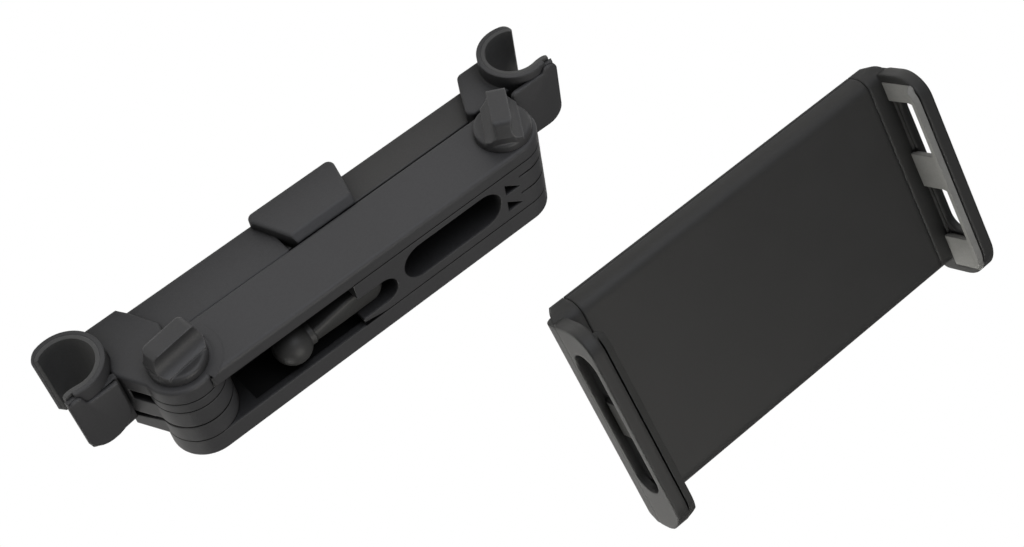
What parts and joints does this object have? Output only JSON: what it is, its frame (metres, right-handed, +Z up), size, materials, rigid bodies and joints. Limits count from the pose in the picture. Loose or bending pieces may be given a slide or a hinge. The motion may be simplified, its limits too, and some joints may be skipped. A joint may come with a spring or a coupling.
{
  "type": "headrest tablet mount",
  "caption": "Car headrest tablet mount: telescopic clamp with two post hooks and a folding ball arm, and its separate tablet cradle with a sliding jaw.",
  "frame": {"origin": "axis of the headrest post in the fixed hook, at the hook's middle height", "axes": "+X along the bar, away from the sliding hook; +Y along the headrest posts, away from the knobs; +Z up from the table the mount lies on, away from the hooks' backs"},
  "size_m": [0.2887, 0.2011, 0.0612],
  "materials": {
    "hard_plastic": "fine moulded grain, dark grey",
    "cradle_plastic": "satin moulded dark grey",
    "knob_plastic": "satin moulded dark grey, worn lighter on the wings",
    "soft_rubber": "soft dark grey lining",
    "pad_rubber": "soft grey pad",
    "ball_plastic": "smooth, slightly glossy",
    "rail_plastic": "smooth matt",
    "zinc_steel": "zinc plated"
  },
  "bodies": {
    "clamp_base": {"left_hook": "hard_plastic", "left_hook_liner": "soft_rubber", "arm_bracket": "hard_plastic", "bar_housing": "hard_plastic", "bar_sleeve": "hard_plastic", "cradle_tray": "cradle_plastic", "cradle_cover": "cradle_plastic", "fixed_jaw": "cradle_plastic", "fixed_jaw_pad": "pad_rubber", "ball_socket": "hard_plastic", "cover_screws": "zinc_steel"},
    "channel_arm": {"arm_channel": "hard_plastic", "hub_bolt_left": "zinc_steel", "hub_bolt_right": "zinc_steel"},
    "inner_arm": {"inner_arm": "hard_plastic", "stem_pin": "zinc_steel"},
    "ball_stem": {"ball_stem": "ball_plastic"},
    "left_knob": {"wing_knob_left": "knob_plastic"},
    "right_knob": {"wing_knob_right": "knob_plastic"},
    "rail": {"sliding_rail": "rail_plastic", "right_hook": "hard_plastic", "right_hook_liner": "soft_rubber"},
    "moving_jaw": {"moving_jaw": "cradle_plastic", "moving_jaw_pad": "pad_rubber", "jaw_slides": "rail_plastic"},
    "collar": {"socket_collar": "hard_plastic"}
  },
  "joints": [
    {"name": "arm_lift", "type": "hinge", "parent": "clamp_base", "child": "channel_arm", "pos_m": [-0.0203, 0.0066, 0.0146], "axis": [0, 1, 0], "range_deg": [0, 90]},
    {"name": "arm_unfold", "type": "hinge", "parent": "channel_arm", "child": "inner_arm", "pos_m": [-0.1173, 0.0066, 0.01545], "axis": [0, -1, 0], "range_deg": [0, 150]},
    {"name": "stem_swing", "type": "hinge", "parent": "inner_arm", "child": "ball_stem", "pos_m": [-0.0693, 0.0075, 0.019], "axis": [0, -1, 0], "range_deg": [0, 90]},
    {"name": "left_knob_turn", "type": "hinge", "parent": "channel_arm", "child": "left_knob", "pos_m": [-0.0203, -0.0066, 0.0146], "axis": [0, -1, 0], "continuous": true},
    {"name": "right_knob_turn", "type": "hinge", "parent": "channel_arm", "child": "right_knob", "pos_m": [-0.1173, -0.0066, 0.01545], "axis": [0, -1, 0], "continuous": true},
    {"name": "rail_slide", "type": "slide", "parent": "clamp_base", "child": "rail", "axis": [-1, 0, 0], "range_m": [-0.002, 0.035]},
    {"name": "jaw_slide", "type": "slide", "parent": "clamp_base", "child": "moving_jaw", "axis": [-1, 0, 0], "range_m": [0, 0.055]},
    {"name": "collar_turn", "type": "hinge", "parent": "clamp_base", "child": "collar", "pos_m": [-0.208, 0.15692, 0.00081], "axis": [0, -0.5313, 0.8472], "continuous": true}
  ]
}
